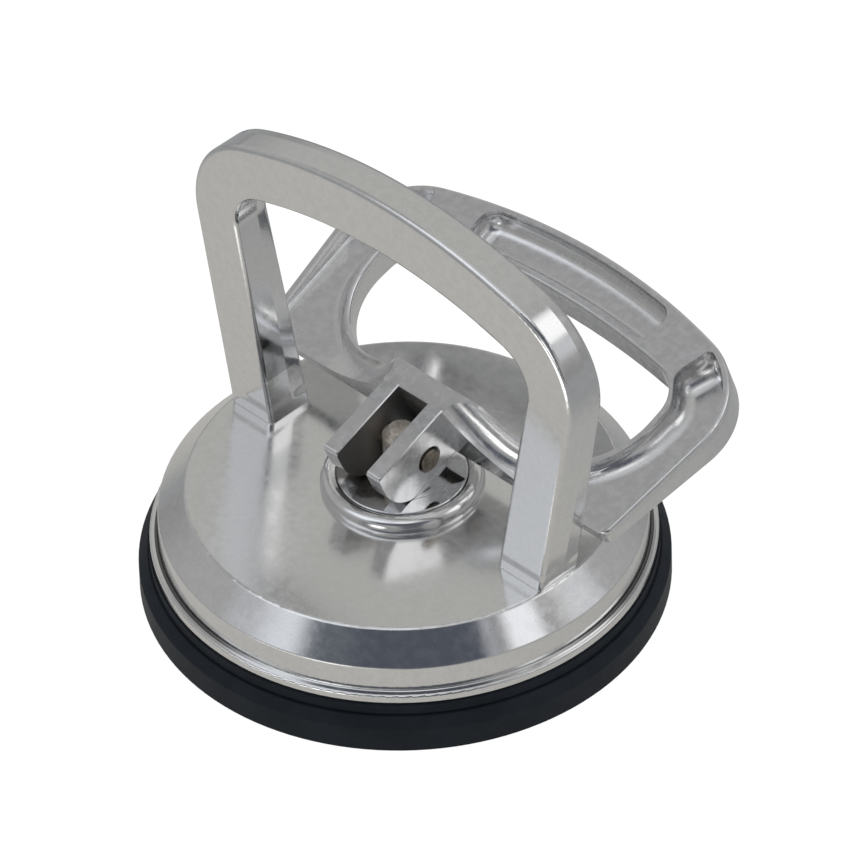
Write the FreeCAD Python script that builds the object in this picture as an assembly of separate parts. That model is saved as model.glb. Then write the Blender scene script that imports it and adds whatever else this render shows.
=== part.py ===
import FreeCAD, Part
import math
import os

# Hand suction lifter for floor tiles, in millimetres.
# The origin is the middle of the flat rubber face; +Z is up, X runs along the handle, +Y points to the lever.
# Each piece is drawn by its own function and written as its own STEP file.

VEC = FreeCAD.Vector

# Overall sizes
PAD_R = 59.0            # outside radius of the rubber rim at its foot
HANDLE_TOP = 106.1      # highest point of the carrying handle
PIN_Z = 36.15           # height of the lever pin when the pad is relaxed
REST_ANGLE = 20.5       # lever plane above the horizontal at rest, degrees
CAM_RATE = 4.4          # pad lift per radian of lever turn

# Clearances
CAM_GAP = 0.05          # cam to wear disc at rest
SLIDE_GAP = 0.05        # draw stud in its bush, per side
PIN_GAP = 0.05          # cross pin in the lever cheeks, per side
DISC_GAP = 0.25         # wear disc in its recess, per side
FLEX_GAP = 0.2          # flexing rubber ring to the moving pad centre

# Body casting: disc
RIM_Z = 10.6            # underside of the rim, where it sits on the rubber
RIM_IN_R = 51.2
RIM_R = 56.1
LIP_Z = 13.2            # top of the small lip round the rim
WALL_R = 54.3
WALL_TOP_R = 54.0
WALL_TOP_Z = 19.1
TOP_R = 47.7            # where the cone meets the flat top
TOP_Z = 25.1
CEILING_Z = 21.3
BOSS_R = 9.0            # inner boss that holds the bush
BOSS_Z = 18.6
RING_OUT_R = 18.0       # rounded ring round the wear disc
RING_BULGE = 0.1        # how little the ring draws in by half its height
RING_PEAK_R = 15.8
RING_PEAK_Z = 28.4
RECESS_R = 14.75
RECESS_Z = 24.9
CAVITY_R = 45.6         # hollow under the top: where its flat ceiling ends
CAVITY_Z = 17.0         # and where its sloping side meets the straight one
CAVITY_ROUND = 2.0

# Body casting: carrying handle
HANDLE_FOOT = 47.0      # outside half width where the leg meets the top
HANDLE_SPLAY = 9.7
HANDLE_CORNER = 21.6
HANDLE_ARCH = 122.0
GRIP_FOOT = 34.3        # inside half width at the same height
GRIP_SPLAY = 9.65
GRIP_CORNER = 9.8
GRIP_ARCH = 118.0
GRIP_TOP = 92.4
FRONT_FOOT = 6.3        # half depth at the foot, towards the front
FRONT_TOP = 5.5
BACK_FOOT = 5.9
BACK_TOP = 3.2
HANDLE_EDGE = 1.1

# Wear disc, bush and spring
DISC_R = RECESS_R - DISC_GAP
DISC_TOP = 28.2
DISC_HOLE = 4.7
STUD_R = 4.15
BUSH_R = 6.0
BUSH_FLANGE_R = 8.0
BUSH_FLANGE_T = 1.0
SEAT_IN_R = 9.1
SEAT_OUT_R = 13.2
SEAT_T = 1.0
SPRING_R = 11.2
SPRING_WIRE = 0.7
SPRING_TURNS = 4.6

# Rubber pad
RUBBER_TOP_R = 56.4
RUBBER_SHOULDER_Z = 7.9
SEAL_R = 55.2           # inside edge of the sealing face under the rim
SEAL_SLOPE = 1.2
SOLE_Z = 0.8            # the sole stands clear of the floor inside the sealing face
SHOULDER_Z = 5.9
LOCATOR_Z = 13.0        # the rubber reaches up inside the casting to this height
WEB_OUT_R = 47.0
WEB_T = 2.0
WEB_RISE = 1.6
CENTRE_R = 41.0
CENTRE_T = 4.6

# Pad plate, nut, washer and draw stud
PLATE_R = 24.0
PLATE_T = 2.5
NUT_FLATS = 10.0
NUT_T = 5.0
WASHER_OUT_R = 5.9
WASHER_T = 1.3
THREAD_R = 3.0
STUD_OVER_PIN = 4.35     # end of the stud above the pin
STUD_TOP = PIN_Z + STUD_OVER_PIN
STUD_TOP_R = 2.65
STUD_TAPER = 1.8        # height of the taper at its end
PIN_R = 2.6
PIN_HALF = 9.2

# Lever casting, in its own frame about the pin: u along the pin, v outwards, w square to the lever plane
HUB_HALF = 8.5
HUB_BACK = 13.4
HUB_TOP = 8.8
SLOT_HALF = 4.4
SLOT_END = 7.6
HEEL_FLAT = 1.8         # flat under the cheeks on which the lever rests
HEEL_V = -2.4           # heel behind that flat
HEEL_W = -7.1
HEEL_RISE = 0.7         # rise of the underside from the heel to the arms
MOUTH_R = 3.3           # dished mouth of the pin hole
MOUTH_DEPTH = 0.9
ARM_FRONT = 7.5
ARM_WIDTH = 10.7        # width of an arm at the front edge of the loop
ARM_HALF = 52.3         # outside half width at the front edge
ARM_SPLAY = 6.0
ARM_CORNER = 20.0
BAR_ARCH = 160.0
BAR_TOP = 63.5
LOOP_TOP = -4.1
LOOP_THICK = 3.8        # thickness near the pin
LOOP_GROW = 0.12        # thickness gained per millimetre outwards
WINDOW_HALF = ARM_HALF - ARM_WIDTH
WINDOW_LOW_R = 21.8
WINDOW_CORNER = 9.2
WINDOW_ARCH = 200.0
BAR_WIDTH = 13.4
WINDOW_TOP = BAR_TOP - BAR_WIDTH
LIP = 1.5               # rims left round the pockets
FLOOR_T = 2.6           # metal left under the arm pockets
SCOOP_R = 32.0
SCOOP_FOOT = 35.5
POCKET_ROUND = 4.2      # wide round along the window side of the arm pocket
POCKET_EDGE = 1.2       # small round along its outer side
POCKET_SET = 3.4        # where the end wall of the pocket starts, from the window's side
POCKET_DROP = 2.6       # and from its top
POCKET_LEAN = 18.5      # lean of the end wall, degrees
RIM_ROUND = 0.7         # round on the rims of the loop
# the rim behind each scoop falls from the hub top to the loop: (u, share of the fall left)
RIGHT_RIM = ((14.7, 1.0), (19.0, 0.82), (24.0, 0.52), (29.0, 0.23), (33.5, 0.05), (37.5, -0.07))
LEFT_RIM = ((9.8, 1.0), (14.3, 0.64), (19.0, 0.42), (25.0, 0.21), (31.0, 0.06), (36.0, -0.07))
RIGHT_WALL = 0.5        # rim left behind the scoop where it leaves the hub
LEFT_WALL = -0.6        # on the left the scoop runs out over the edge
GRIP_HALF = 27.6
GRIP_DEPTH = 5.0
GRIP_ROUND = 3.8
GRIP_CORNER_R = 4.0


def xz(a, b):
    return VEC(a, 0, b)


def yz(a, b):
    return VEC(0, a, b)


def xy(a, b):
    return VEC(a, b, 0)


def line(p, q):
    return Part.LineSegment(p, q).toShape()


def arc(p, m, q):
    return Part.Arc(p, m, q).toShape()


def face(edges):
    return Part.Face(Part.Wire(Part.__sortEdges__(edges)))


def outline(corners, place):
    """Edges of a closed outline through corners (a, b, radius), each rounded with its own radius."""
    marks = []
    count = len(corners)
    for i in range(count):
        a, b, r = corners[i]
        here = VEC(a, b, 0)
        if r == 0:
            marks.append((here, None, here))
            continue
        before = VEC(corners[i - 1][0], corners[i - 1][1], 0) - here
        after = VEC(corners[(i + 1) % count][0], corners[(i + 1) % count][1], 0) - here
        before.normalize()
        after.normalize()
        half = before.getAngle(after) / 2
        middle = before + after
        middle.normalize()
        reach = r / math.tan(half)
        tip = here + middle * (r / math.sin(half) - r)
        marks.append((here + before * reach, tip, here + after * reach))
    edges = []
    for i in range(count):
        start, tip, end = marks[i]
        if tip is not None:
            edges.append(arc(place(start.x, start.y), place(tip.x, tip.y), place(end.x, end.y)))
        follow = marks[(i + 1) % count][0]
        if (follow - end).Length > 1e-6:
            edges.append(line(place(end.x, end.y), place(follow.x, follow.y)))
    return edges


def turned(corners):
    """Solid of revolution about Z from (radius, height, corner radius) points."""
    shape = face(outline(corners, xz)).revolve(VEC(0, 0, 0), VEC(0, 0, 1), 360)
    return shape


def arched(half, foot, splay, corner, arch, top, place):
    """Right leg, corner, arch, corner and left leg as edges, and the two foot points."""
    s = math.sin(math.radians(splay))
    c = math.cos(math.radians(splay))
    base = top - arch
    px = half - corner * c
    py = foot + corner * s - base
    along = px * s + py * c
    t = -along + math.sqrt(along ** 2 - px ** 2 - py ** 2 + (arch - corner) ** 2)
    leg = (half + t * s, foot + t * c)
    mid = (px + t * s, py + t * c + base)
    grow = arch / (arch - corner)
    tip = (mid[0] * grow, base + (mid[1] - base) * grow)
    bx = (leg[0] + tip[0]) / 2 - mid[0]
    by = (leg[1] + tip[1]) / 2 - mid[1]
    far = corner / math.hypot(bx, by)
    bend = (mid[0] + bx * far, mid[1] + by * far)
    edges = [
        line(place(half, foot), place(*leg)),
        arc(place(*leg), place(*bend), place(*tip)),
        arc(place(*tip), place(0, top), place(-tip[0], tip[1])),
        arc(place(-tip[0], tip[1]), place(-bend[0], bend[1]), place(-leg[0], leg[1])),
        line(place(-leg[0], leg[1]), place(-half, foot)),
    ]
    return edges


def leg_at(half, foot, splay, level):
    """Half width of a splayed leg at another level."""
    return half + (level - foot) * math.tan(math.radians(splay))


def cylinder(r, low, high):
    return Part.makeCylinder(r, high - low, VEC(0, 0, low))


def ring(inner, outer, low, high):
    return cylinder(outer, low, high).cut(cylinder(inner, low - 1, high + 1))


def disc_body():
    ring_mid = xz(RING_OUT_R - RING_BULGE, TOP_Z + 0.58 * (RING_PEAK_Z - TOP_Z))
    corners = [
        (RIM_IN_R, RIM_Z, 0),
        (RIM_R - 0.4, RIM_Z, 0),
        (RIM_R - 0.4, RIM_Z + 0.6, 0),
        (RIM_R, RIM_Z + 0.7, 0),
        (RIM_R, LIP_Z, 0.6),
        (WALL_R, LIP_Z, 0.5),
        (WALL_TOP_R, WALL_TOP_Z, 0.5),
        (TOP_R, TOP_Z, 1.0),
        (RING_OUT_R, TOP_Z, 0),
        (ring_mid.x, ring_mid.z, 0),
        (RING_PEAK_R, RING_PEAK_Z, 0),
        (RECESS_R, RING_PEAK_Z - 0.5, 0),
        (RECESS_R, RECESS_Z, 0),
        (BUSH_FLANGE_R, RECESS_Z, 0),
        (BUSH_FLANGE_R, RECESS_Z - BUSH_FLANGE_T, 0),
        (BUSH_R, RECESS_Z - BUSH_FLANGE_T, 0),
        (BUSH_R, BOSS_Z, 0),
        (BOSS_R, BOSS_Z, 0),
        (BOSS_R, CEILING_Z, 0),
        (CAVITY_R, CEILING_Z, CAVITY_ROUND),
        (RIM_IN_R, CAVITY_Z, CAVITY_ROUND),
    ]
    edges = outline(corners, xz)
    # the ring round the wear disc is rounded, not straight: swap its two chords for one curve
    chords = [xz(RING_OUT_R, TOP_Z), ring_mid, xz(RING_PEAK_R, RING_PEAK_Z)]
    kept = []
    for edge in edges:
        middle = edge.valueAt((edge.FirstParameter + edge.LastParameter) / 2)
        straight = [(chords[0] + chords[1]) * 0.5, (chords[1] + chords[2]) * 0.5]
        if min((middle - spot).Length for spot in straight) > 1e-3:
            kept.append(edge)
    kept.append(arc(*chords))
    return face(kept).revolve(VEC(0, 0, 0), VEC(0, 0, 1), 360)


def handle():
    buried = TOP_Z - 1.2
    foot_out = leg_at(HANDLE_FOOT, TOP_Z, HANDLE_SPLAY, buried)
    foot_in = leg_at(GRIP_FOOT, TOP_Z, GRIP_SPLAY, buried)
    outer = arched(foot_out, buried, HANDLE_SPLAY, HANDLE_CORNER, HANDLE_ARCH, HANDLE_TOP, xz)
    inner = arched(foot_in, buried, GRIP_SPLAY, GRIP_CORNER, GRIP_ARCH, GRIP_TOP, xz)
    feet = [
        line(xz(foot_out, buried), xz(foot_in, buried)),
        line(xz(-foot_out, buried), xz(-foot_in, buried)),
    ]
    bow = face(outer + inner + feet)
    bow.translate(VEC(0, -20, 0))
    bow = bow.extrude(VEC(0, 40, 0))
    side = face(outline([
        (-FRONT_FOOT, buried - 1, 0),
        (BACK_FOOT, buried - 1, 0),
        (BACK_TOP, HANDLE_TOP + 1, 0),
        (-FRONT_TOP, HANDLE_TOP + 1, 0),
    ], yz))
    side.translate(VEC(-80, 0, 0))
    side = side.extrude(VEC(160, 0, 0))
    bow = bow.common(side)
    slope_front = (FRONT_TOP - FRONT_FOOT) / (HANDLE_TOP + 2 - buried)
    slope_back = (BACK_TOP - BACK_FOOT) / (HANDLE_TOP + 2 - buried)
    rims = []
    for edge in bow.Edges:
        ends = [edge.valueAt(edge.FirstParameter), edge.valueAt(edge.LastParameter)]
        level = [p.z - buried + 1 for p in ends]
        front = all(abs(-p.y - FRONT_FOOT - slope_front * h) < 1e-3 for p, h in zip(ends, level))
        back = all(abs(p.y - BACK_FOOT - slope_back * h) < 1e-3 for p, h in zip(ends, level))
        low = all(abs(p.z - buried) < 1e-3 for p in ends)
        if (front or back) and not low:
            rims.append(edge)
    return bow.makeFillet(HANDLE_EDGE, rims)


def body_casting():
    return disc_body().fuse(handle()).removeSplitter()


def wear_disc():
    return turned([
        (DISC_HOLE, RECESS_Z, 0),
        (DISC_R, RECESS_Z, 0),
        (DISC_R, DISC_TOP, 0.4),
        (DISC_HOLE, DISC_TOP, 0.3),
    ])


def guide_bush():
    bore = STUD_R + SLIDE_GAP
    return turned([
        (bore, BOSS_Z, 0),
        (BUSH_R, BOSS_Z, 0),
        (BUSH_R, RECESS_Z - BUSH_FLANGE_T, 0),
        (BUSH_FLANGE_R, RECESS_Z - BUSH_FLANGE_T, 0),
        (BUSH_FLANGE_R, RECESS_Z, 0),
        (bore, RECESS_Z, 0),
    ])


def spring_seat():
    return ring(SEAT_IN_R, SEAT_OUT_R, CEILING_Z - SEAT_T, CEILING_Z)


def return_spring():
    low = CENTRE_T + PLATE_T
    high = CEILING_Z - SEAT_T
    inset = SPRING_WIRE * 0.4
    rise = high - low - 2 * inset
    path = Part.makeHelix(rise / SPRING_TURNS, rise, SPRING_R)
    path.translate(VEC(0, 0, low + inset))
    start = VEC(SPRING_R, 0, low + inset)
    section = Part.Wire(Part.makeCircle(SPRING_WIRE, start, VEC(0, 1, 0)))
    coil = Part.Wire(path).makePipeShell([section], True, True)
    return coil.common(cylinder(SPRING_R + 3, low, high))


def rubber_rim():
    return turned([
        (WEB_OUT_R, SOLE_Z, 0),
        (SEAL_R - SEAL_SLOPE, SOLE_Z, 0),
        (SEAL_R, 0, 0),
        (PAD_R, 0, 0),
        (PAD_R - 0.1, SHOULDER_Z, 0.5),
        (RUBBER_TOP_R + 0.5, RUBBER_SHOULDER_Z, 0),
        (RUBBER_TOP_R - 0.3, RUBBER_SHOULDER_Z, 0),
        (RUBBER_TOP_R - 0.3, RUBBER_SHOULDER_Z + 0.3, 0),
        (RUBBER_TOP_R, RUBBER_SHOULDER_Z + 0.4, 0),
        (RUBBER_TOP_R, RIM_Z, 0),
        (RIM_IN_R - 0.2, RIM_Z, 0),
        (RIM_IN_R - 0.2, LOCATOR_Z, 0.8),
        (WEB_OUT_R, LOCATOR_Z, 0.8),
    ])


def rubber_web():
    inner = CENTRE_R + FLEX_GAP
    return turned([
        (WEB_OUT_R, SOLE_Z, 0),
        (WEB_OUT_R, SOLE_Z + WEB_T, 0),
        (inner, SOLE_Z + WEB_T + WEB_RISE, 0),
        (inner, SOLE_Z + WEB_RISE, 0),
    ])


def rubber_centre():
    disc = turned([
        (0, 0, 0),
        (CENTRE_R, 0, 0.6),
        (CENTRE_R, CENTRE_T, 0.6),
        (0, CENTRE_T, 0),
    ])
    return disc


def pad_plate():
    return turned([
        (THREAD_R, CENTRE_T, 0),
        (PLATE_R, CENTRE_T, 0),
        (PLATE_R, CENTRE_T + PLATE_T, 0.8),
        (THREAD_R, CENTRE_T + PLATE_T, 0),
    ])


def pad_nut():
    low = CENTRE_T + PLATE_T
    across = NUT_FLATS / math.sqrt(3)
    points = []
    for i in range(7):
        turn = math.radians(60 * i)
        points.append(VEC(across * math.cos(turn), across * math.sin(turn), low))
    block = Part.Face(Part.makePolygon(points)).extrude(VEC(0, 0, NUT_T))
    dome = Part.makeCone(across + 2.2, across - 0.6, NUT_T, VEC(0, 0, low))
    return block.common(dome).cut(cylinder(THREAD_R, low - 1, low + NUT_T + 1))


def lock_washer():
    low = CENTRE_T + PLATE_T + NUT_T
    return ring(THREAD_R + 0.1, WASHER_OUT_R, low, low + WASHER_T)


def draw_stud():
    step = CENTRE_T + PLATE_T + NUT_T + WASHER_T
    stud = turned([
        (0, CENTRE_T + 0.3, 0),
        (THREAD_R - 0.4, CENTRE_T + 0.3, 0),
        (THREAD_R, CENTRE_T + 0.7, 0),
        (THREAD_R, step, 0),
        (STUD_R, step, 0),
        (STUD_R, STUD_TOP - STUD_TAPER, 0.6),
        (STUD_TOP_R, STUD_TOP, 0.5),
        (0, STUD_TOP, 0),
    ])
    hole = Part.makeCylinder(PIN_R, 20, VEC(-10, 0, PIN_Z), VEC(1, 0, 0))
    return stud.cut(hole)


def cross_pin():
    pin = face(outline([
        (0, -PIN_HALF, 0),
        (PIN_R, -PIN_HALF, 0.35),
        (PIN_R, PIN_HALF, 0.35),
        (0, PIN_HALF, 0),
    ], xz)).revolve(VEC(0, 0, 0), VEC(0, 0, 1), 360)
    pin.rotate(VEC(0, 0, 0), VEC(0, 1, 0), 90)
    pin.translate(VEC(0, 0, PIN_Z))
    return pin


def loop_bottom(v):
    return LOOP_TOP - LOOP_THICK - LOOP_GROW * (v - ARM_FRONT)


def cam_point(turn):
    """Point of the cheek that touches the wear disc when the lever plane stands at turn degrees."""
    t = math.radians(turn)
    h = PIN_Z - DISC_TOP - CAM_GAP + CAM_RATE * (t - math.radians(REST_ANGLE))
    v = -h * math.sin(t) - CAM_RATE * math.cos(t)
    w = -h * math.cos(t) + CAM_RATE * math.sin(t)
    return yz(v, w)


def window():
    """Prism of the opening between hub, arms and bar."""
    centre_v = HUB_BACK + WINDOW_LOW_R
    centre_u = WINDOW_HALF - WINDOW_LOW_R
    dip = WINDOW_LOW_R * math.sqrt(0.5)
    edges = arched(WINDOW_HALF, centre_v, 0, WINDOW_CORNER, WINDOW_ARCH, WINDOW_TOP, xy)
    for side in (1, -1):
        edges.append(arc(
            xy(side * WINDOW_HALF, centre_v),
            xy(side * (centre_u + dip), centre_v - dip),
            xy(side * centre_u, HUB_BACK),
        ))
    edges.append(line(xy(-centre_u, HUB_BACK), xy(centre_u, HUB_BACK)))
    hole = face(edges)
    hole.translate(VEC(0, 0, LOOP_TOP - 30))
    return hole.extrude(VEC(0, 0, 60))


def lever_loop():
    """Flat loop with the two raised flares that fall from the hub to the arms."""
    outer = arched(ARM_HALF, ARM_FRONT, ARM_SPLAY, ARM_CORNER, BAR_ARCH, BAR_TOP, xy)
    outer.append(line(xy(-ARM_HALF, ARM_FRONT), xy(ARM_HALF, ARM_FRONT)))
    depth = 25
    plate = face(outer)
    plate.translate(VEC(0, 0, LOOP_TOP - depth))
    plate = plate.extrude(VEC(0, 0, depth))
    corners = []
    for edge in plate.Edges:
        p = edge.valueAt(edge.FirstParameter)
        q = edge.valueAt(edge.LastParameter)
        if abs(p.x - q.x) + abs(p.y - q.y) < 1e-6 and abs(p.y - ARM_FRONT) < 1e-6:
            corners.append(edge)
    plate = plate.makeFillet(2.0, corners)
    hole = window()
    plate = plate.cut(hole)
    wedge = face(outline([
        (ARM_FRONT - 5, loop_bottom(ARM_FRONT - 5), 0),
        (BAR_TOP + 5, loop_bottom(BAR_TOP + 5), 0),
        (BAR_TOP + 5, HUB_TOP + 5, 0),
        (ARM_FRONT - 5, HUB_TOP + 5, 0),
    ], yz))
    wedge.translate(VEC(-80, 0, 0))
    plate = plate.common(wedge.extrude(VEC(160, 0, 0)))
    rims = []
    for edge in plate.Edges:
        p = edge.valueAt(edge.FirstParameter)
        q = edge.valueAt(edge.LastParameter)
        m = edge.valueAt((edge.FirstParameter + edge.LastParameter) / 2)
        level = max(abs(r.z - LOOP_TOP) for r in (p, q, m)) < 1e-6
        front = max(abs(r.y - ARM_FRONT) for r in (p, q, m)) < 1e-6
        if level and not front:
            rims.append(edge)
    return plate.makeFillet(RIM_ROUND, rims).fuse(lever_flare().cut(hole))


def lever_hub():
    start = cam_point(REST_ANGLE)
    end = cam_point(90)
    steps = 12
    points = []
    for i in range(steps + 1):
        points.append(cam_point(REST_ANGLE + (90 - REST_ANGLE) * i / steps))
    curve = Part.BSplineCurve()
    curve.interpolate(points)
    tilt = math.radians(REST_ANGLE)
    along = VEC(0, math.cos(tilt), -math.sin(tilt))
    flat = start + along * HEEL_FLAT
    heel = yz(HEEL_V, HEEL_W)
    rise = yz(ARM_FRONT, HEEL_W + HEEL_RISE)
    round_r = 0.9
    edges = [
        curve.toShape(),
        line(start, flat),
        line(flat, heel),
        line(heel, rise),
        line(rise, yz(ARM_FRONT, loop_bottom(ARM_FRONT))),
        line(yz(ARM_FRONT, loop_bottom(ARM_FRONT)), yz(HUB_BACK, loop_bottom(HUB_BACK))),
        line(yz(HUB_BACK, loop_bottom(HUB_BACK)), yz(HUB_BACK, HUB_TOP - round_r)),
    ]
    slant = round_r * (1 - math.sqrt(0.5))
    edges.append(arc(
        yz(HUB_BACK, HUB_TOP - round_r),
        yz(HUB_BACK - slant, HUB_TOP - slant),
        yz(HUB_BACK - round_r, HUB_TOP),
    ))
    edges.append(line(yz(HUB_BACK - round_r, HUB_TOP), yz(end.y + round_r, HUB_TOP)))
    edges.append(arc(
        yz(end.y + round_r, HUB_TOP),
        yz(end.y + slant, HUB_TOP - slant),
        yz(end.y, HUB_TOP - round_r),
    ))
    edges.append(line(yz(end.y, HUB_TOP - round_r), end))
    block = face(edges)
    block.translate(VEC(-HUB_HALF, 0, 0))
    return block.extrude(VEC(2 * HUB_HALF, 0, 0))


def lever_flare():
    """Raised bar behind the hub that falls away in a curve to both arms."""
    low = LOOP_TOP - 3
    fall = HUB_TOP - LOOP_TOP
    edges = [line(xz(-LEFT_RIM[0][0], HUB_TOP), xz(RIGHT_RIM[0][0], HUB_TOP))]
    for side, rim in ((1, RIGHT_RIM), (-1, LEFT_RIM)):
        points = [xz(side * u, LOOP_TOP + share * fall) for u, share in rim]
        curve = Part.BSplineCurve()
        curve.interpolate(points)
        edges.append(curve.toShape())
        foot = points[-1]
        edges.append(line(foot, xz(foot.x, low)))
    edges.append(line(xz(-LEFT_RIM[-1][0], low), xz(RIGHT_RIM[-1][0], low)))
    bar = face(edges)
    bar.translate(VEC(0, ARM_FRONT, 0))
    return bar.extrude(VEC(0, WINDOW_LOW_R, 0))


def arm_corner():
    """Centre of the rounded outer corner of an arm."""
    s = math.sin(math.radians(ARM_SPLAY))
    c = math.cos(math.radians(ARM_SPLAY))
    base = BAR_TOP - BAR_ARCH
    px = ARM_HALF - ARM_CORNER * c
    py = ARM_FRONT + ARM_CORNER * s - base
    along = px * s + py * c
    t = -along + math.sqrt(along ** 2 - px ** 2 - py ** 2 + (BAR_ARCH - ARM_CORNER) ** 2)
    return px + t * s, py + t * c + base


def arm_pocket(wall):
    """Cutter for the right arm: the pocket and the scoop that runs from it up to the hub."""
    s = math.sin(math.radians(ARM_SPLAY))
    c = math.cos(math.radians(ARM_SPLAY))
    open_v = ARM_FRONT - 2
    start_u = HUB_HALF + 0.3
    centre = arm_corner()
    reach = ARM_CORNER - LIP
    # the end wall leans; where its line meets the rounded outer corner is the far corner of the pocket
    lean = math.radians(POCKET_LEAN)
    foot = (WINDOW_HALF - POCKET_SET, WINDOW_TOP - POCKET_DROP)
    px = foot[0] - centre[0]
    py = foot[1] - centre[1]
    along = px * math.sin(lean) + py * math.cos(lean)
    t = -along + math.sqrt(along ** 2 - px ** 2 - py ** 2 + reach ** 2)
    far = (foot[0] + t * math.sin(lean), foot[1] + t * math.cos(lean))
    knee = (centre[0] + reach * c, centre[1] - reach * s)
    swing = math.atan2(far[1] - centre[1], far[0] - centre[0])
    middle = (swing - math.radians(ARM_SPLAY)) / 2
    bend = (centre[0] + reach * math.cos(middle), centre[1] + reach * math.sin(middle))
    inside = WINDOW_HALF + LIP
    edges = outline([
        (start_u, open_v, 0),
        (knee[0] - (knee[1] - open_v) * s / c, open_v, 0),
        (knee[0], knee[1], 0),
        (far[0], far[1], 0),
        (foot[0], foot[1], POCKET_ROUND + 0.1),
        (inside, WINDOW_TOP - WINDOW_CORNER, WINDOW_CORNER - LIP),
        (inside, HUB_BACK - LIP, WINDOW_LOW_R + 0.8),
        (start_u, HUB_BACK - wall, 0),
    ], xy)
    chord = xy((knee[0] + far[0]) / 2, (knee[1] + far[1]) / 2)
    kept = []
    for edge in edges:
        if (edge.valueAt((edge.FirstParameter + edge.LastParameter) / 2) - chord).Length > 1e-3:
            kept.append(edge)
    kept.append(arc(xy(*knee), xy(*bend), xy(*far)))
    region = face(kept)
    region.translate(VEC(0, 0, -30))
    region = region.extrude(VEC(0, 0, 60))
    floor_w = loop_bottom(ARM_FRONT) + FLOOR_T
    centre_w = floor_w + SCOOP_R
    start_w = centre_w - math.sqrt(SCOOP_R ** 2 - (SCOOP_FOOT - start_u) ** 2)
    swing = math.asin((SCOOP_FOOT - start_u) / SCOOP_R) / 2
    mid_u = SCOOP_FOOT - SCOOP_R * math.sin(swing)
    mid_w = centre_w - SCOOP_R * math.cos(swing)
    end_u = ARM_HALF + ARM_WIDTH
    over_w = centre_w + SCOOP_R
    above = face([
        arc(xz(start_u, start_w), xz(mid_u, mid_w), xz(SCOOP_FOOT, floor_w)),
        line(xz(SCOOP_FOOT, floor_w), xz(end_u, floor_w)),
        line(xz(end_u, floor_w), xz(end_u, over_w)),
        line(xz(end_u, over_w), xz(start_u, over_w)),
        line(xz(start_u, over_w), xz(start_u, start_w)),
    ])
    back = 6
    above.translate(VEC(0, ARM_FRONT - back, LOOP_GROW * back))
    above = above.extrude(VEC(0, BAR_TOP + back, -(BAR_TOP + back) * LOOP_GROW))
    cutter = region.common(above)
    wide = []
    tight = []
    for edge in cutter.Edges:
        p = edge.valueAt((edge.FirstParameter + edge.LastParameter) / 2)
        base = floor_w - LOOP_GROW * (p.y - ARM_FRONT)
        if p.x < SCOOP_FOOT:
            base = base + SCOOP_R - math.sqrt(SCOOP_R ** 2 - (SCOOP_FOOT - p.x) ** 2)
        on_floor = abs(p.z - base) < 1e-3
        open_end = abs(p.y - open_v) < 1e-3
        seam = abs(p.x - SCOOP_FOOT) < 1e-3
        hub_end = abs(p.x - start_u) < 1e-3
        if not on_floor or open_end or seam or hub_end:
            continue
        outer_side = p.x > knee[0] - (knee[1] - p.y) * s / c - 0.01 and p.y < knee[1]
        outer_corner = abs(math.hypot(p.x - centre[0], p.y - centre[1]) - reach) < 0.01
        if outer_side or outer_corner:
            tight.append(edge)
        else:
            wide.append(edge)
    cutter = cutter.makeFillet(POCKET_ROUND, wide)
    return cutter.makeFillet(POCKET_EDGE, matching(cutter, tight))


def matching(shape, wanted):
    """Edges of a changed shape that still run through the middles of the wanted ones."""
    found = []
    for edge in shape.Edges:
        for old in wanted:
            spot = old.valueAt((old.FirstParameter + old.LastParameter) / 2)
            if edge.distToShape(Part.Vertex(spot))[0] < 1e-4:
                found.append(edge)
                break
    return found


def grip_pocket():
    low = WINDOW_TOP + LIP
    high = BAR_TOP - LIP
    low_r = WINDOW_ARCH + LIP
    high_r = BAR_ARCH - LIP
    low_end = low - low_r + math.sqrt(low_r ** 2 - GRIP_HALF ** 2)
    high_end = high - high_r + math.sqrt(high_r ** 2 - GRIP_HALF ** 2)
    edges = [
        arc(xy(-GRIP_HALF, low_end), xy(0, low), xy(GRIP_HALF, low_end)),
        line(xy(GRIP_HALF, low_end), xy(GRIP_HALF, high_end)),
        arc(xy(GRIP_HALF, high_end), xy(0, high), xy(-GRIP_HALF, high_end)),
        line(xy(-GRIP_HALF, high_end), xy(-GRIP_HALF, low_end)),
    ]
    cutter = face(edges)
    cutter.translate(VEC(0, 0, LOOP_TOP - GRIP_DEPTH))
    cutter = cutter.extrude(VEC(0, 0, 12))
    sides = []
    for edge in cutter.Edges:
        p = edge.valueAt(edge.FirstParameter)
        q = edge.valueAt(edge.LastParameter)
        if abs(p.x - q.x) + abs(p.y - q.y) < 1e-6:
            sides.append(edge)
    cutter = cutter.makeFillet(GRIP_CORNER_R, sides)
    rims = []
    for edge in cutter.Edges:
        p = edge.valueAt(edge.FirstParameter)
        q = edge.valueAt(edge.LastParameter)
        if abs(p.z - LOOP_TOP + GRIP_DEPTH) < 1e-6 and abs(q.z - LOOP_TOP + GRIP_DEPTH) < 1e-6:
            rims.append(edge)
    return cutter.makeFillet(GRIP_ROUND, rims)


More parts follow.
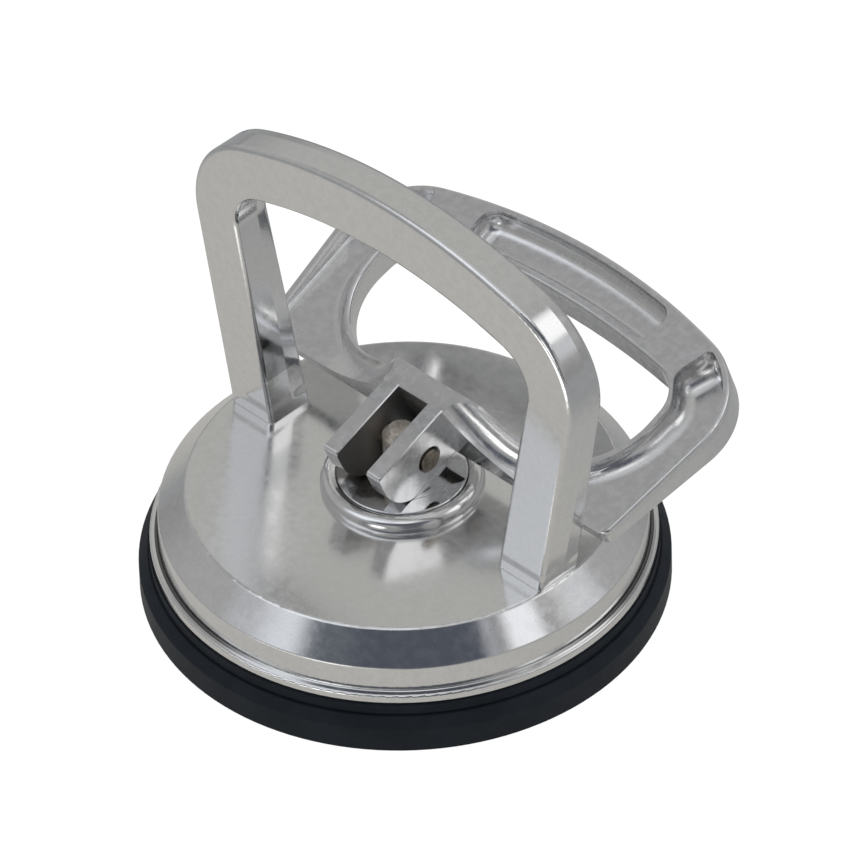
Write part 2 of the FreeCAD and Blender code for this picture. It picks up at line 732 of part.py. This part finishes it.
def lever_casting():
    lever = lever_loop().fuse(lever_hub())
    right = arm_pocket(RIGHT_WALL)
    left = arm_pocket(LEFT_WALL).mirror(VEC(0, 0, 0), VEC(1, 0, 0))
    slot = Part.makeBox(2 * SLOT_HALF, SLOT_END + 20, 40, VEC(-SLOT_HALF, -20, -20))
    hole = Part.makeCylinder(PIN_R + PIN_GAP, 40, VEC(-20, 0, 0), VEC(1, 0, 0))
    lever = lever.cut([right, left, grip_pocket(), slot, hole])
    for side in (1, -1):
        face_u = VEC(side * HUB_HALF, 0, 0)
        mouth = Part.makeCone(MOUTH_R, PIN_R + PIN_GAP, MOUTH_DEPTH, face_u, VEC(-side, 0, 0))
        lever = lever.cut(mouth)
    lever = lever.removeSplitter()
    lever.rotate(VEC(0, 0, 0), VEC(1, 0, 0), REST_ANGLE)
    lever.translate(VEC(0, 0, PIN_Z))
    return lever


PIECES = {
    "body_casting": body_casting,
    "wear_disc": wear_disc,
    "guide_bush": guide_bush,
    "spring_seat": spring_seat,
    "return_spring": return_spring,
    "rubber_rim": rubber_rim,
    "rubber_web": rubber_web,
    "rubber_centre": rubber_centre,
    "pad_plate": pad_plate,
    "pad_nut": pad_nut,
    "lock_washer": lock_washer,
    "draw_stud": draw_stud,
    "cross_pin": cross_pin,
    "lever_casting": lever_casting,
}

os.makedirs("parts", exist_ok=True)
for name, build in PIECES.items():
    shape = build()
    if len(shape.Solids) != 1:
        raise ValueError(name + " is not one solid")
    shape = shape.Solids[0]
    if not shape.isValid():
        raise ValueError(name + " is not a sound solid")
    shape.exportStep(os.path.join("parts", name + ".step"))
    print(name, round(shape.Volume, 1), "mm3")
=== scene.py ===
import bpy
import math
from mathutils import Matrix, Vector


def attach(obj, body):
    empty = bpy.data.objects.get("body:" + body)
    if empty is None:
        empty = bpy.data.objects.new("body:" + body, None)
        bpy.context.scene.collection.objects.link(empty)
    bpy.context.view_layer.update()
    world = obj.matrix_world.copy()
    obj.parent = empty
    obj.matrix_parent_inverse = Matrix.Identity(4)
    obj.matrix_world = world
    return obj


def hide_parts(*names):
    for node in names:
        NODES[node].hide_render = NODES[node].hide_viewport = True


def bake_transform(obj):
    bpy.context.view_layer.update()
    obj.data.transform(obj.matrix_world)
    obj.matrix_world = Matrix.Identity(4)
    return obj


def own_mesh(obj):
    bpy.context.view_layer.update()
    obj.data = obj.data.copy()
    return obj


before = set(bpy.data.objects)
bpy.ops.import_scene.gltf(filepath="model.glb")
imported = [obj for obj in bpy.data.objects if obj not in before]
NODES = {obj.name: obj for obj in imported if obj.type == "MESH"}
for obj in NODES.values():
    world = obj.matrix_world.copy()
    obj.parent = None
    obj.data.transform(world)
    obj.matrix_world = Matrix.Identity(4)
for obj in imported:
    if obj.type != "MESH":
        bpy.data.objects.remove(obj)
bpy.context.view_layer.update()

scene = bpy.context.scene
scene.view_settings.view_transform = "Standard"

# places on the body casting that its material follows, in mm
LIP_Z = (12.5, 13.72)                   # the lip of the rim with its rounds
LIP_FROM_R = 54.0
LIP_IN_R, LIP_IN_ROUND = 54.8, 0.5      # where the hollow inside the lip ends, and its radius
LIP_OUT_R, LIP_OUT_ROUND = 55.5, 0.6    # where the round outside the lip starts, and its radius
WALL_FOOT_Z, WALL_FOOT_R = (13.5, 14.2), 55.0
WALL_FOOT_SIDE = (26, 44)               # its line of painted shade grows from the first to the second, left and right
BEVEL_Z = 15.0                          # edges below this height show no bevel
TOP_Z = (24.8, 25.3)                    # just under and over the flat top
LEG_FOOT_Z = (27.5, 30.0)               # the draft of the legs starts over this height
PARTING_Y = 0.8                         # parting plane of the handle
FRONT_DRAFT, BACK_DRAFT = -0.03, -0.15
# painted dark reflection: where dark patches are painted on the inner face of the left leg
PAINTED_REFLECTION_X, PAINTED_REFLECTION_Y = (-42.0, -31.0), -5.9   # inner face of the left leg, behind its front edge
PAINTED_REFLECTION_LOW, PAINTED_REFLECTION_FADE = 36.0, (46.0, 49.0)
CAMERA_RIGHT = (0.719, 0.695)           # plan direction that the camera sees as right

# and on the lever casting, about its pin: u along the pin, v outwards, w square to the lever
PIN_Z = 36.15                           # height of the pin at rest
REST_ANGLE = 20.5                       # tilt of the lever at rest, degrees
SLOT_HALF, SLOT_END = 4.46, 7.75
SEAM_W = -5.6                           # parting line of the loop
CHEEK_TOP_W, CHEEK_END_V = 8.6, 8.0
CHEEK_EDGES = ((-4.85, -4.4), (8.1, 8.6))   # broken edges of the cheeks that face right

EDGE = 0.0003                           # radius that the bevelled normals show, in m
WINDOW = (50, 45)                       # azimuth and elevation of the window of the room


# ---------------------------------------------------------------- shader helpers

def plug(tree, socket, value):
    """Link an output to the socket, or set it to a plain value."""
    if hasattr(value, "is_output"):
        tree.links.new(value, socket)
    else:
        socket.default_value = value


def add(tree, kind, **values):
    """New shader node; values are its settings or, by name, its input sockets."""
    node = tree.nodes.new("ShaderNode" + kind)
    for key, value in values.items():
        if hasattr(node, key):
            setattr(node, key, value)
        else:
            plug(tree, node.inputs[key], value)
    return node


def maths(tree, operation, *values, clamp=False):
    node = add(tree, "Math", operation=operation, use_clamp=clamp)
    for socket, value in zip(node.inputs, values):
        plug(tree, socket, value)
    return node.outputs[0]


def product(tree, first, *others):
    for other in others:
        first = maths(tree, "MULTIPLY", first, other)
    return first


def over(tree, value, low):
    """1 where value is over low, 0 elsewhere."""
    return maths(tree, "GREATER_THAN", value, low)


def under(tree, value, high):
    """1 where value is under high, 0 elsewhere."""
    return maths(tree, "LESS_THAN", value, high)


def within(tree, value, low, high):
    """1 where value is between low and high, 0 elsewhere."""
    return product(tree, over(tree, value, low), under(tree, value, high))


def span(tree, value, low, high, to_low=0.0, to_high=1.0, kind="SMOOTHSTEP"):
    """value from low to high mapped to the range from to_low to to_high, and held there beyond it."""
    node = add(tree, "MapRange", interpolation_type=kind, Value=value)
    for name, number in (("From Min", low), ("From Max", high), ("To Min", to_low), ("To Max", to_high)):
        node.inputs[name].default_value = number
    return node.outputs["Result"]


def blend_colour(tree, factor, a, b):
    node = add(tree, "Mix", data_type="RGBA")
    plug(tree, node.inputs[0], factor)
    for socket, value in ((node.inputs[6], a), (node.inputs[7], b)):
        plug(tree, socket, (*value, 1) if isinstance(value, tuple) else value)
    return node.outputs[2]


def pick_normal(tree, factor, a, b):
    node = add(tree, "Mix", data_type="VECTOR")
    for socket, value in ((node.inputs[0], factor), (node.inputs[4], a), (node.inputs[5], b)):
        tree.links.new(value, socket)
    return node.outputs[1]


def group(name, inputs, outputs):
    tree = bpy.data.node_groups.new(name, "ShaderNodeTree")
    for label, kind, value in inputs:
        socket = tree.interface.new_socket(label, in_out="INPUT", socket_type="NodeSocket" + kind)
        socket.default_value = value
    for label, kind in outputs:
        tree.interface.new_socket(label, in_out="OUTPUT", socket_type="NodeSocket" + kind)
    return tree, tree.nodes.new("NodeGroupInput"), tree.nodes.new("NodeGroupOutput")


def object_point(tree):
    return tree.nodes.new("ShaderNodeTexCoord").outputs["Object"]


def millimetres(tree, scale=(1000, 1000, 1000), turn=(0, 0, 0)):
    """Point on the object in mm, or stretched by another scale and turned."""
    return add(tree, "Mapping", Vector=object_point(tree), Scale=scale, Rotation=turn).outputs[0]


def position(tree, tilt=0.0, lift=0.0):
    """x, y, z in mm, or u, v, w in a plane tilted about X through a point lift above the floor."""
    place = add(tree, "Mapping", Vector=object_point(tree), Scale=(1000, 1000, 1000), Location=(0, 0, -lift))
    turned = add(tree, "VectorRotate", rotation_type="X_AXIS", Vector=place.outputs[0], Angle=-tilt)
    return add(tree, "SeparateXYZ", Vector=turned.outputs[0]).outputs


def from_axis(tree, x, y):
    """Distance from the upright axis of the object."""
    across = add(tree, "VectorMath", operation="LENGTH")
    tree.links.new(add(tree, "CombineXYZ", X=x, Y=y, Z=0.0).outputs[0], across.inputs[0])
    return across.outputs["Value"]


def noise(tree, vector, scale, detail=2.0, rough=0.5, distort=0.0):
    return add(tree, "TexNoise", Vector=vector, Scale=scale, Detail=detail, Roughness=rough,
               Distortion=distort).outputs["Fac"]


# ---------------------------------------------------------------- materials

def cast_skin():
    """Hand-polished casting: slow waves, a fine grain, polishing lines and a few pits. Height is in mm."""
    tree, source, sink = group(
        "cast_skin",
        [("Wave", "Float", 0.05), ("Grain", "Float", 0.01), ("Lines", "Float", 0.3), ("Pits", "Float", 0.01)],
        [("Tone", "Float"), ("Rough", "Float"), ("Height", "Float")],
    )
    amount = source.outputs
    here = millimetres(tree)
    wave = noise(tree, here, 0.07, 1.0, 0.4)
    ripple = noise(tree, here, 0.5, 2.0, 0.5)
    grain = noise(tree, here, 2.6, 3.0, 0.65)
    lines_a = noise(tree, millimetres(tree, (130, 5200, 700), (0.3, 0.2, 0.9)), 1.0, 2.0, 0.6)
    lines_b = noise(tree, millimetres(tree, (4600, 210, 500), (0.1, 0.6, 0.35)), 1.0, 2.0, 0.6)
    lines = maths(tree, "MAXIMUM", span(tree, lines_a, 0.58, 0.76), span(tree, lines_b, 0.6, 0.78))
    spots = add(tree, "TexVoronoi", Vector=here, Scale=0.55, Randomness=1.0).outputs["Distance"]
    pit = span(tree, spots, 0.05, 0.14, 1.0, 0.0)
    mottle = span(tree, ripple, 0.3, 0.7)

    height = product(tree, wave, amount["Wave"])
    height = maths(tree, "MULTIPLY_ADD", ripple, product(tree, amount["Wave"], 0.1), height)
    height = maths(tree, "MULTIPLY_ADD", grain, amount["Grain"], height)
    height = maths(tree, "MULTIPLY_ADD", lines, product(tree, amount["Lines"], -0.004), height)
    height = maths(tree, "MULTIPLY_ADD", pit, product(tree, amount["Pits"], -1), height)
    tone = maths(tree, "MULTIPLY_ADD", mottle, 0.45, product(tree, span(tree, grain, 0.3, 0.72), 0.55))
    tone = maths(tree, "MULTIPLY_ADD", pit, -0.4, tone)
    rough = maths(tree, "MULTIPLY_ADD", lines, amount["Lines"], product(tree, mottle, 0.5))
    for label, value in (("Tone", tone), ("Rough", rough), ("Height", height)):
        tree.links.new(value, sink.inputs[label])
    return tree


SKIN = cast_skin()


def material(name):
    m = bpy.data.materials.new(name)
    m.use_nodes = True
    return m, m.node_tree, m.node_tree.nodes["Principled BSDF"]


def metal(name, dark, light, rough, wave=0.03, grain=0.006, lines=0.3, pits=0.006,
          edge=0.0, pure=1.0, shape=None, true_normal=None):
    """Metal whose tone runs from dark to light and roughness between the two values of rough.
    shape(tree, colour, rough, height) may change the three before they reach the shader, and
    true_normal(tree, normal) the normal on which the bump is laid."""
    m, tree, shader = material(name)
    skin = tree.nodes.new("ShaderNodeGroup")
    skin.node_tree = SKIN
    for label, value in (("Wave", wave), ("Grain", grain), ("Lines", lines), ("Pits", pits)):
        skin.inputs[label].default_value = value
    colour = blend_colour(tree, skin.outputs["Tone"], dark, light)
    roughness = span(tree, skin.outputs["Rough"], 0.0, 1.0, rough[0], rough[1], "LINEAR")
    height = skin.outputs["Height"]
    if shape:
        colour, roughness, height = shape(tree, colour, roughness, height)
    tree.links.new(colour, shader.inputs["Base Color"])
    tree.links.new(roughness, shader.inputs["Roughness"])
    shader.inputs["Metallic"].default_value = pure
    bump = add(tree, "Bump", Strength=1.0, Distance=0.001, Height=height)
    if edge:
        bevel = add(tree, "Bevel", samples=4, Radius=edge).outputs["Normal"]
        plain = tree.nodes.new("ShaderNodeNewGeometry").outputs["Normal"]
        normal = pick_normal(tree, span(tree, position(tree)[2], BEVEL_Z, BEVEL_Z + 0.1), plain, bevel)
        if true_normal:
            normal = true_normal(tree, normal)
        tree.links.new(normal, bump.inputs["Normal"])
    tree.links.new(bump.outputs["Normal"], shader.inputs["Normal"])
    return m


def lip_normal(tree, normal):
    """True normal of the small rounds on the lip of the rim, whose facets would scallop the highlight."""
    x, y, z = position(tree)
    radius = from_axis(tree, x, y)
    inner = maths(tree, "MULTIPLY_ADD", radius, -1 / LIP_IN_ROUND, LIP_IN_R / LIP_IN_ROUND)
    outer = maths(tree, "MULTIPLY_ADD", radius, 1 / LIP_OUT_ROUND, -LIP_OUT_R / LIP_OUT_ROUND)
    out = maths(tree, "MAXIMUM", inner, outer, clamp=True)
    up = maths(tree, "SQRT", maths(tree, "SUBTRACT", 1.0, product(tree, out, out)))
    share = maths(tree, "DIVIDE", out, radius)
    flat = add(tree, "CombineXYZ", X=product(tree, x, share), Y=product(tree, y, share), Z=up)
    world = add(tree, "VectorTransform", vector_type="NORMAL", convert_from="OBJECT", convert_to="WORLD")
    tree.links.new(flat.outputs[0], world.inputs[0])
    here = product(tree, within(tree, z, *LIP_Z), over(tree, radius, LIP_FROM_R))
    return pick_normal(tree, here, normal, world.outputs[0])


def body_shape(tree, colour, rough, height):
    """Draft of the handle to both sides of its parting plane, which shows as a fine crease on the legs,
    a painted dark reflection in patches on the left leg, a duller top and a dark line of painted shade at the
    foot of the wall."""
    x, y, z = position(tree)
    off = maths(tree, "SUBTRACT", y, PARTING_Y)
    front = product(tree, maths(tree, "MAXIMUM", product(tree, off, -1), 0.0), FRONT_DRAFT)
    back = product(tree, maths(tree, "MAXIMUM", off, 0.0), BACK_DRAFT)
    height = maths(tree, "MULTIPLY_ADD", maths(tree, "ADD", front, back), span(tree, z, *LEG_FOOT_Z), height)

    # painted dark reflection: cloudy dark patches on the inner face of the left leg, fading out upwards
    cloud = noise(tree, millimetres(tree, (1, 0.7, 0.35)), 0.32, 3.0, 0.62, 0.8)
    painted_reflection = product(
        tree, span(tree, cloud, 0.36, 0.56), span(tree, z, *PAINTED_REFLECTION_FADE, 1.0, 0.0), over(tree, z, PAINTED_REFLECTION_LOW),
        within(tree, x, *PAINTED_REFLECTION_X), over(tree, y, PAINTED_REFLECTION_Y), 0.8)
    colour = blend_colour(tree, painted_reflection, colour, (0.12, 0.13, 0.15))

    rough = maths(tree, "MULTIPLY_ADD", within(tree, z, *TOP_Z), 0.05, rough)

    # painted shade: a dark line at the foot of the wall, where it meets the lip, darker to the left and right
    side = maths(tree, "MULTIPLY_ADD", x, CAMERA_RIGHT[0], product(tree, y, CAMERA_RIGHT[1]))
    foot = product(
        tree, span(tree, z, *WALL_FOOT_Z, 1.0, 0.0), under(tree, from_axis(tree, x, y), WALL_FOOT_R),
        span(tree, maths(tree, "ABSOLUTE", side), *WALL_FOOT_SIDE), 0.85)
    return blend_colour(tree, foot, colour, (0.05, 0.05, 0.05)), rough, height


def lever_shape(tree, colour, rough, height):
    """The slot of the lever is raw and rough, and its colour is darkened as painted shade in the recess; the
    walls of the loop carry a fine parting line, and the edges of the cheeks a narrow flat."""
    u, v, w = position(tree, math.radians(REST_ANGLE), PIN_Z)
    # painted shade: inside the slot the colour is darkened, and the roughness raised
    inside = product(tree, under(tree, maths(tree, "ABSOLUTE", u), SLOT_HALF), under(tree, v, SLOT_END))
    colour = blend_colour(tree, inside, colour, (0.38, 0.375, 0.37))
    rough = maths(tree, "MULTIPLY_ADD", inside, 0.3, rough)
    off = maths(tree, "ABSOLUTE", maths(tree, "SUBTRACT", w, SEAM_W))
    height = maths(tree, "ADD", height, span(tree, off, 0.05, 0.3, -0.05, 0.0))
    crest = product(tree, over(tree, w, CHEEK_TOP_W), under(tree, v, CHEEK_END_V))
    for low, high in CHEEK_EDGES:
        flat = product(tree, within(tree, u, low, high), crest)
        fall = maths(tree, "MULTIPLY_ADD", maths(tree, "SUBTRACT", u, low), -0.93, product(tree, v, -0.11))
        height = maths(tree, "MULTIPLY_ADD", fall, flat, height)
    return colour, rough, height


def disc_shape(tree, colour, rough, height):
    """Darker, rougher patches on the wear disc, more of them towards its left."""
    dark_patches = noise(tree, millimetres(tree), 0.13, 2.0, 0.5, 0.6)
    amount = span(tree, maths(tree, "MULTIPLY_ADD", position(tree)[0], -0.03, dark_patches), 0.48, 0.64)
    colour = blend_colour(tree, product(tree, amount, 0.8), colour, (0.10, 0.09, 0.08))
    return colour, maths(tree, "MULTIPLY_ADD", amount, 0.22, rough), height


def rubber():
    m, tree, shader = material("black_rubber")
    here = millimetres(tree)
    cloud = noise(tree, here, 0.12, 3.0, 0.6)
    grain = noise(tree, here, 2.6, 4.0, 0.7)
    colour = blend_colour(tree, span(tree, cloud, 0.3, 0.7), (0.015, 0.020, 0.027), (0.022, 0.028, 0.037))
    tree.links.new(colour, shader.inputs["Base Color"])
    tree.links.new(span(tree, grain, 0.3, 0.7, 0.42, 0.58), shader.inputs["Roughness"])
    shader.inputs["Specular IOR Level"].default_value = 0.16
    height = maths(tree, "MULTIPLY_ADD", grain, 0.006, product(tree, cloud, 0.04))
    bump = add(tree, "Bump", Strength=1.0, Distance=0.001, Height=height)
    tree.links.new(bump.outputs["Normal"], shader.inputs["Normal"])
    return m


BODY = metal("cast_body", (0.74, 0.74, 0.735), (0.83, 0.83, 0.825), rough=(0.09, 0.22),
             wave=0.02, grain=0.003, pits=0.005, edge=EDGE, shape=body_shape, true_normal=lip_normal)
LEVER = metal("cast_lever", (0.72, 0.72, 0.72), (0.82, 0.82, 0.82), rough=(0.16, 0.34),
              grain=0.007, lines=0.35, shape=lever_shape)
DISC = metal("disc_steel", (0.72, 0.73, 0.74), (0.80, 0.81, 0.82), rough=(0.05, 0.1),
             wave=0.006, grain=0.001, lines=0.25, pits=0.0, shape=disc_shape)
STUD = metal("stud_steel", (0.40, 0.33, 0.26), (0.92, 0.86, 0.77), rough=(0.3, 0.5),
             wave=0.01, grain=0.02, lines=0.5, pits=0.01, edge=EDGE, pure=0.25)
PIN = metal("pin_steel", (0.15, 0.13, 0.10), (0.38, 0.34, 0.29), rough=(0.3, 0.5),
            wave=0.01, grain=0.015, lines=0.5, pits=0.01, edge=EDGE)
BRONZE = metal("bush_bronze", (0.36, 0.24, 0.12), (0.50, 0.36, 0.20), rough=(0.2, 0.36),
               wave=0.01, grain=0.004, lines=0.4)
SPRING = metal("spring_steel", (0.16, 0.16, 0.17), (0.28, 0.28, 0.30), rough=(0.22, 0.4),
               wave=0.0, grain=0.003, lines=0.4)
ZINC = metal("zinc_steel", (0.48, 0.50, 0.52), (0.62, 0.64, 0.66), rough=(0.18, 0.4), wave=0.01)
RUBBER = rubber()

FINISH = {
    "body_casting": BODY, "lever_casting": LEVER, "wear_disc": DISC, "draw_stud": STUD, "cross_pin": PIN,
    "guide_bush": BRONZE, "return_spring": SPRING, "spring_seat": ZINC, "pad_plate": ZINC, "pad_nut": ZINC,
    "lock_washer": ZINC, "rubber_rim": RUBBER, "rubber_web": RUBBER, "rubber_centre": RUBBER,
}
for name, finish in FINISH.items():
    node = NODES[name]
    node.data.materials.clear()
    node.data.materials.append(finish)


# ---------------------------------------------------------------- soft pieces

def copy_of(node, name):
    source = NODES[node]
    bpy.ops.object.select_all(action="DESELECT")
    made = source.copy()
    made.data = source.data.copy()
    made.name = made.data.name = name
    made.parent = None
    made.matrix_world = source.matrix_world.copy()
    made.hide_viewport = made.hide_render = False
    scene.collection.objects.link(made)
    bpy.context.view_layer.objects.active = made
    made.select_set(True)
    return made


# the flexing ring is cut into equal sectors
SECTORS = 8
half = math.pi / SECTORS
for i in range(SECTORS):
    piece = copy_of("rubber_web", "rubber_web_%d" % (i + 1))
    middle = 2 * half * i
    bpy.ops.object.mode_set(mode="EDIT")
    for side in (-1, 1):
        bpy.ops.mesh.select_all(action="SELECT")
        normal = middle + side * (half + math.pi / 2)
        across = (math.cos(normal), math.sin(normal), 0)
        bpy.ops.mesh.bisect(plane_co=(0, 0, 0), plane_no=across, clear_outer=True)
    bpy.ops.object.mode_set(mode="OBJECT")
    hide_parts("rubber_web")
    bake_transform(piece)

coil = copy_of("return_spring", "return_spring_coil")
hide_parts("return_spring")
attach(coil, "root")
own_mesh(coil)


# ---------------------------------------------------------------- camera, floor and light

# the camera that was fitted to the photograph
bpy.ops.object.select_all(action="DESELECT")
bpy.ops.object.camera_add(location=(0.655991, -0.645091, 0.827134), rotation=(0.863404, 0.0234486, 0.768024))
camera = bpy.context.object
camera.data.lens = 236.33
camera.data.sensor_width = 36
camera.data.clip_end = 10
scene.camera = camera


def floor_paper():
    """The camera sees white paper; the metal mirrors it in the grey tones of the photographed table."""
    m, tree, shader = material("floor_paper")

    def painted_light_pool(x, y, near, far):
        """1 within near metres of a point on the table, 0 beyond far."""
        gap = add(tree, "VectorMath", operation="DISTANCE")
        tree.links.new(object_point(tree), gap.inputs[0])
        gap.inputs[1].default_value = (x, y, 0)
        return span(tree, gap.outputs["Value"], near, far, 1.0, 0.0)

    cloud = noise(tree, millimetres(tree, (1, 1, 1)), 1.0, 2.0, 0.5)
    paper = blend_colour(tree, cloud, (0.14, 0.14, 0.14), (0.16, 0.16, 0.16))
    tree.links.new(paper, shader.inputs["Base Color"])
    shader.inputs["Roughness"].default_value = 1
    shader.inputs["Specular IOR Level"].default_value = 0
    path = tree.nodes.new("ShaderNodeLightPath")
    # painted light on the table that the metal mirrors: a brighter pool round the object, and a painted
    # bright spot in front of it, brighter than white
    table = blend_colour(tree, painted_light_pool(-0.03, -0.10, 0.08, 0.30), (0.26, 0.265, 0.27), (0.45, 0.44, 0.415))
    table = blend_colour(tree, painted_light_pool(0.04, -0.25, 0.08, 0.15), table, (2.0, 2.0, 1.97))
    grey = blend_colour(tree, path.outputs["Is Glossy Ray"], (0.30, 0.30, 0.30), table)
    seen = blend_colour(tree, path.outputs["Is Camera Ray"], grey, (0.97, 0.97, 0.97))
    tree.links.new(seen, shader.inputs["Emission Color"])
    shader.inputs["Emission Strength"].default_value = 1
    return m


bpy.ops.mesh.primitive_plane_add(size=6, location=(0, 0, -0.0002))
floor = bpy.context.object
floor.name = "floor"
floor.data.materials.append(floor_paper())


def direction(azimuth, elevation):
    """Unit vector; azimuth 0 is +X and 90 is +Y, both angles in degrees."""
    a, e = math.radians(azimuth), math.radians(elevation)
    return Vector((math.cos(a) * math.cos(e), math.sin(a) * math.cos(e), math.sin(e)))


# azimuth and elevation; degrees to the edge of the full shade and to where it has faded out; shade
ROOM = (
    (133, 45, 12, 45, (0.49, 0.49, 0.475)),     # wall behind on the left
    (178, 56, 8, 24, (0.37, 0.37, 0.375)),
    (0, 90, 8, 28, (0.60, 0.61, 0.63)),         # ceiling
    (315, 75, 5, 12, (1.05, 1.06, 1.08)),       # lamp overhead, which draws the bright lines on edges
    (*WINDOW, 9, 18, (1.22, 1.22, 1.23)),
    (240, 36, 4, 16, (0.50, 0.51, 0.54)),
    (228, 43, 3, 10, (0.76, 0.78, 0.83)),
    (247, 58, 8, 25, (1.05, 1.09, 1.16)),       # cool light from the front left
    (282, 45, 7, 19, (0.13, 0.145, 0.17)),      # dark room behind the camera
    (308, 46, 8, 20, (0.09, 0.10, 0.125)),
    (334, 45, 8, 20, (0.09, 0.10, 0.125)),
    (325, 22, 8, 20, (0.13, 0.135, 0.15)),
    (325, 2, 6, 18, (0.14, 0.145, 0.16)),
    (268, 12, 4, 12, (0.20, 0.205, 0.215)),
    (350, 46, 3, 10, (0.09, 0.10, 0.125)),
    (282, 1, 6, 13, (2.2, 2.2, 2.2)),           # lit table edge far in front
    (40, 25, 4, 13, (0.66, 0.67, 0.70)),        # lower end of the window
    (14, 41, 5, 8, (1.05, 1.06, 1.10)),         # small pane beside the window
    (357, 46, 1, 3, (0.50, 0.51, 0.55)),
)


def studio():
    """Room round the object: light behind, dark where the camera stands, cooler on the left."""
    world = bpy.data.worlds.new("studio")
    scene.world = world
    world.use_nodes = True
    tree = world.node_tree
    way = tree.nodes.new("ShaderNodeTexCoord").outputs["Generated"]

    def towards(azimuth, elevation, near, far):
        """1 within near degrees of a direction, 0 beyond far degrees."""
        node = add(tree, "VectorMath", operation="DOT_PRODUCT")
        tree.links.new(way, node.inputs[0])
        node.inputs[1].default_value = direction(azimuth, elevation)
        return span(tree, node.outputs["Value"], math.cos(math.radians(far)), math.cos(math.radians(near)))

    height = add(tree, "SeparateXYZ", Vector=way).outputs["Z"]
    colour = blend_colour(tree, span(tree, height, 0.02, 0.35), (0.31, 0.31, 0.315), (0.42, 0.42, 0.425))
    for azimuth, elevation, near, far, shade in ROOM:
        colour = blend_colour(tree, towards(azimuth, elevation, near, far), colour, shade)
    room = add(tree, "Background", Color=colour, Strength=1.0)
    paper = add(tree, "Background", Color=(1, 1, 1, 1), Strength=1.0)
    path = tree.nodes.new("ShaderNodeLightPath")
    mix = tree.nodes.new("ShaderNodeMixShader")
    for socket, value in zip(mix.inputs, (path.outputs["Is Camera Ray"], room.outputs[0], paper.outputs[0])):
        tree.links.new(value, socket)
    tree.links.new(mix.outputs[0], tree.nodes["World Output"].inputs["Surface"])


studio()


def softbox(name, way, distance, size, strength):
    """Area lamp in the given direction from the object; strength is how bright its face looks."""
    place = way * distance + Vector((0, 0, 0.05))
    bpy.ops.object.light_add(type="AREA", location=place)
    lamp = bpy.context.object
    lamp.name = name
    lamp.rotation_euler = way.to_track_quat("Z", "Y").to_euler()
    lamp.data.shape = "RECTANGLE"
    lamp.data.size, lamp.data.size_y = size
    lamp.data.energy = strength * math.pi * size[0] * size[1]
    lamp.visible_glossy = False


softbox("window", direction(*WINDOW), 1.3, (0.60, 0.50), 0.9)
